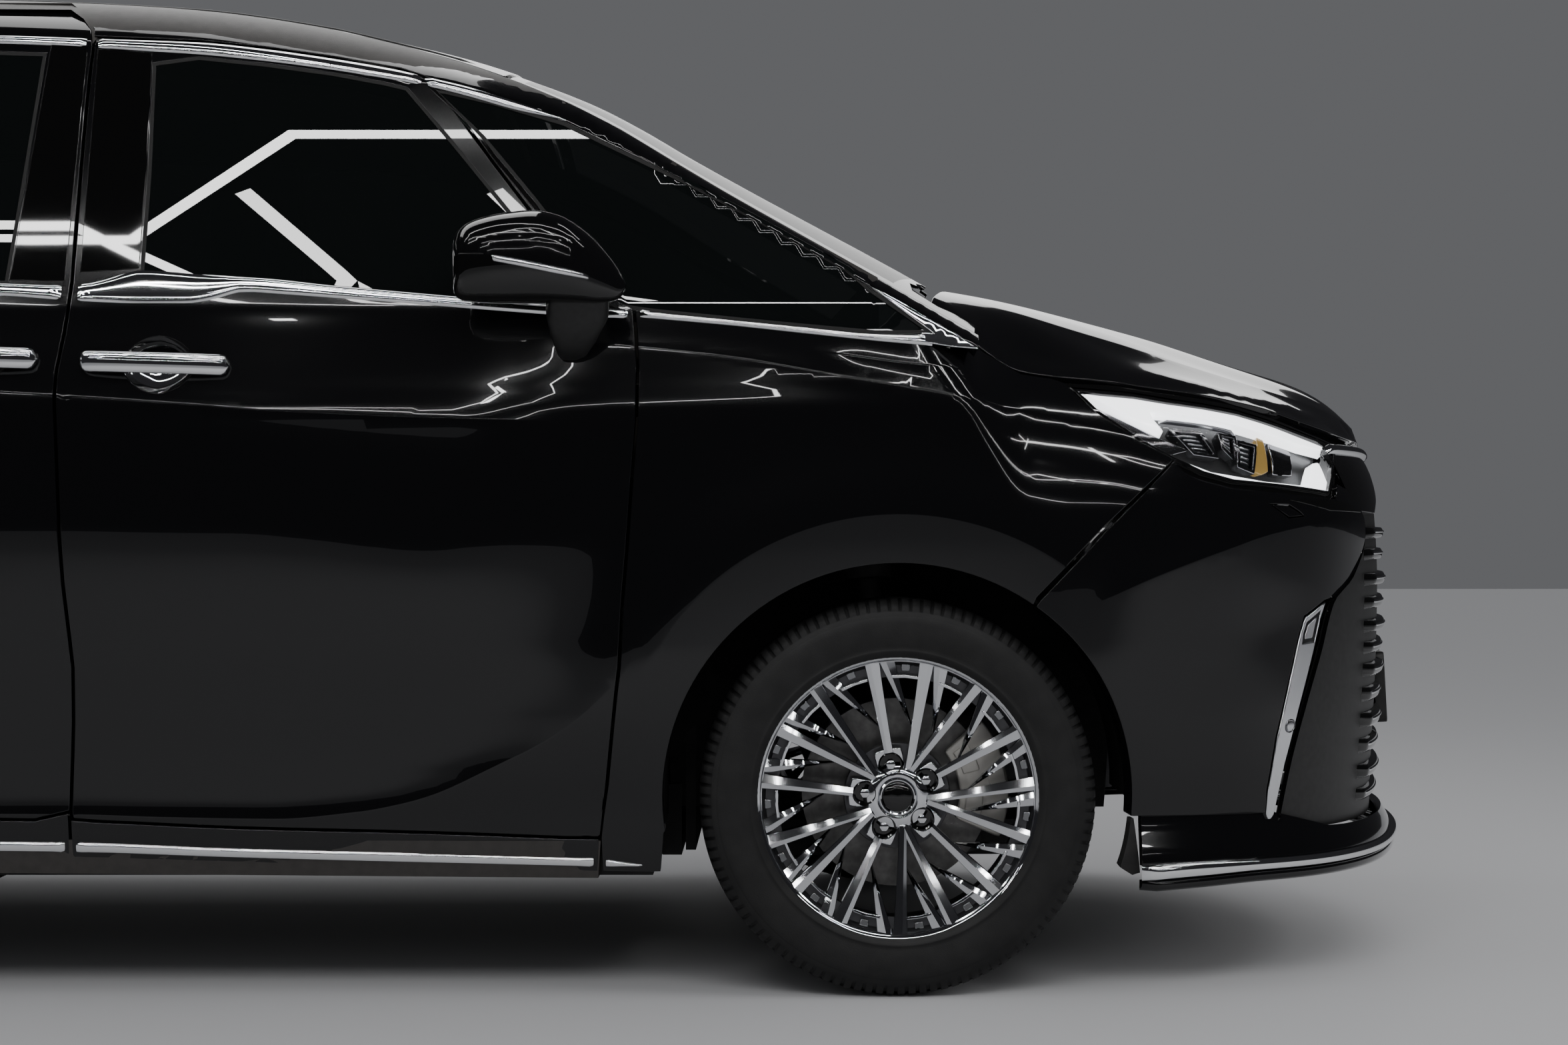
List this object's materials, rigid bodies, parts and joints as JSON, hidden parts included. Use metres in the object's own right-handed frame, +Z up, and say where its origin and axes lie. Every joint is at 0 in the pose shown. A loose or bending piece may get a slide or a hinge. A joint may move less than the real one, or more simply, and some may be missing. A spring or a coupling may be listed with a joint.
{
  "type": "luxury minivan",
  "caption": "Full-size luxury minivan with hinged front doors, hood and tailgate, steered front wheels and a hollow cabin with reclining captain seats.",
  "frame": {"origin": "on the ground under the middle of the body's length and width", "axes": "+X to the front of the vehicle, +Y to its left, +Z up"},
  "size_m": [5.1327, 2.261, 1.952],
  "materials": {
    "body_paint": "deep gloss black",
    "tinted_glass": "dark privacy tint",
    "lamp_clear": "clear lens",
    "lamp_red": "red lens",
    "bright_chrome": "polished",
    "tyre": "matt",
    "rim_alloy": "polished hyper silver",
    "brake_iron": "machined",
    "seat_leather": "semi-matt",
    "cabin_plastic": "fine grain",
    "wheel_leather": "smooth",
    "liner_plastic": "matt",
    "underbody_steel": "matt sealed",
    "chassis_iron": "painted",
    "chassis_alloy": "cast",
    "engine_alloy": "cast",
    "exhaust_steel": "dull"
  },
  "bodies": {
    "body_shell": {"bulkhead": "underbody_steel", "captain_seats": "seat_leather", "dashboard": "cabin_plastic", "engine_block": "engine_alloy", "exhaust_system": "exhaust_steel", "floor_pan": "underbody_steel", "front_bumper": "body_paint", "front_fenders": "body_paint", "front_grille": "bright_chrome", "front_seats": "seat_leather", "front_subframe": "chassis_iron", "fuel_tank": "liner_plastic", "headlamps": "lamp_clear", "left_body_side": "body_paint", "left_sliding_door": "body_paint", "rear_axle": "chassis_iron", "rear_bench": "seat_leather", "rear_bumper": "body_paint", "rear_corner_panels": "body_paint", "right_body_side": "body_paint", "right_sliding_door": "body_paint", "roof_panel": "body_paint", "side_windows": "tinted_glass", "tail_lamps": "lamp_red", "wheelhouse_liners": "liner_plastic", "windshield": "tinted_glass"},
    "right_front_door": {"right_front_door": "body_paint", "right_front_door_glass": "tinted_glass", "right_mirror": "body_paint"},
    "left_front_door": {"left_front_door": "body_paint", "left_front_door_glass": "tinted_glass", "left_mirror": "body_paint"},
    "hood": {"hood": "body_paint"},
    "tailgate": {"tailgate": "body_paint", "tailgate_glass": "tinted_glass"},
    "steering_wheel": {"steering_wheel": "wheel_leather"},
    "right_knuckle": {"right_knuckle": "chassis_alloy"},
    "left_knuckle": {"left_knuckle": "chassis_alloy"},
    "front_right_wheel": {"front_right_tyre": "tyre", "front_right_rim": "rim_alloy", "front_right_brake_disc": "brake_iron"},
    "front_left_wheel": {"front_left_tyre": "tyre", "front_left_rim": "rim_alloy", "front_left_brake_disc": "brake_iron"},
    "rear_right_wheel": {"rear_right_tyre": "tyre", "rear_right_rim": "rim_alloy", "rear_right_brake_disc": "brake_iron"},
    "rear_left_wheel": {"rear_left_tyre": "tyre", "rear_left_rim": "rim_alloy", "rear_left_brake_disc": "brake_iron"}
  },
  "joints": [
    {"name": "right_front_door_hinge", "type": "hinge", "parent": "body_shell", "child": "right_front_door", "pos_m": [0.945, -0.922, 0.72], "axis": [0, 0, 1], "range_deg": [0, 65]},
    {"name": "left_front_door_hinge", "type": "hinge", "parent": "body_shell", "child": "left_front_door", "pos_m": [0.945, 0.922, 0.72], "axis": [0, 0, -1], "range_deg": [0, 65]},
    {"name": "hood_hinge", "type": "hinge", "parent": "body_shell", "child": "hood", "pos_m": [1.474, 0, 1.322], "axis": [0, -1, 0], "range_deg": [0, 45]},
    {"name": "tailgate_hinge", "type": "hinge", "parent": "body_shell", "child": "tailgate", "pos_m": [-2.266, 0, 1.88], "axis": [0, 1, 0], "range_deg": [0, 78]},
    {"name": "right_wheel_steer", "type": "hinge", "parent": "body_shell", "child": "right_knuckle", "pos_m": [1.497, -0.732, 0.2], "axis": [-0.0655, 0.173, 0.9827], "range_deg": [-35, 35]},
    {"name": "left_wheel_steer", "type": "hinge", "parent": "body_shell", "child": "left_knuckle", "pos_m": [1.497, 0.732, 0.2], "axis": [-0.0655, -0.173, 0.9827], "range_deg": [-35, 35]},
    {"name": "steering_wheel_turn", "type": "hinge", "parent": "body_shell", "child": "steering_wheel", "pos_m": [0.64, 0.385, 1], "axis": [-0.9135, 0, 0.4067], "range_deg": [-540, 540]},
    {"name": "front_right_wheel_spin", "type": "hinge", "parent": "right_knuckle", "child": "front_right_wheel", "pos_m": [1.505, -0.812, 0.362], "axis": [0, 1, 0], "continuous": true},
    {"name": "front_left_wheel_spin", "type": "hinge", "parent": "left_knuckle", "child": "front_left_wheel", "pos_m": [1.505, 0.812, 0.362], "axis": [0, 1, 0], "continuous": true},
    {"name": "rear_right_wheel_spin", "type": "hinge", "parent": "body_shell", "child": "rear_right_wheel", "pos_m": [-1.495, -0.812, 0.362], "axis": [0, 1, 0], "continuous": true},
    {"name": "rear_left_wheel_spin", "type": "hinge", "parent": "body_shell", "child": "rear_left_wheel", "pos_m": [-1.495, 0.812, 0.362], "axis": [0, 1, 0], "continuous": true}
  ],
  "couplings": [
    {"joint": "left_wheel_steer", "follows": "right_wheel_steer", "ratio": 1},
    {"joint": "steering_wheel_turn", "follows": "right_wheel_steer", "ratio": 15.4}
  ]
}
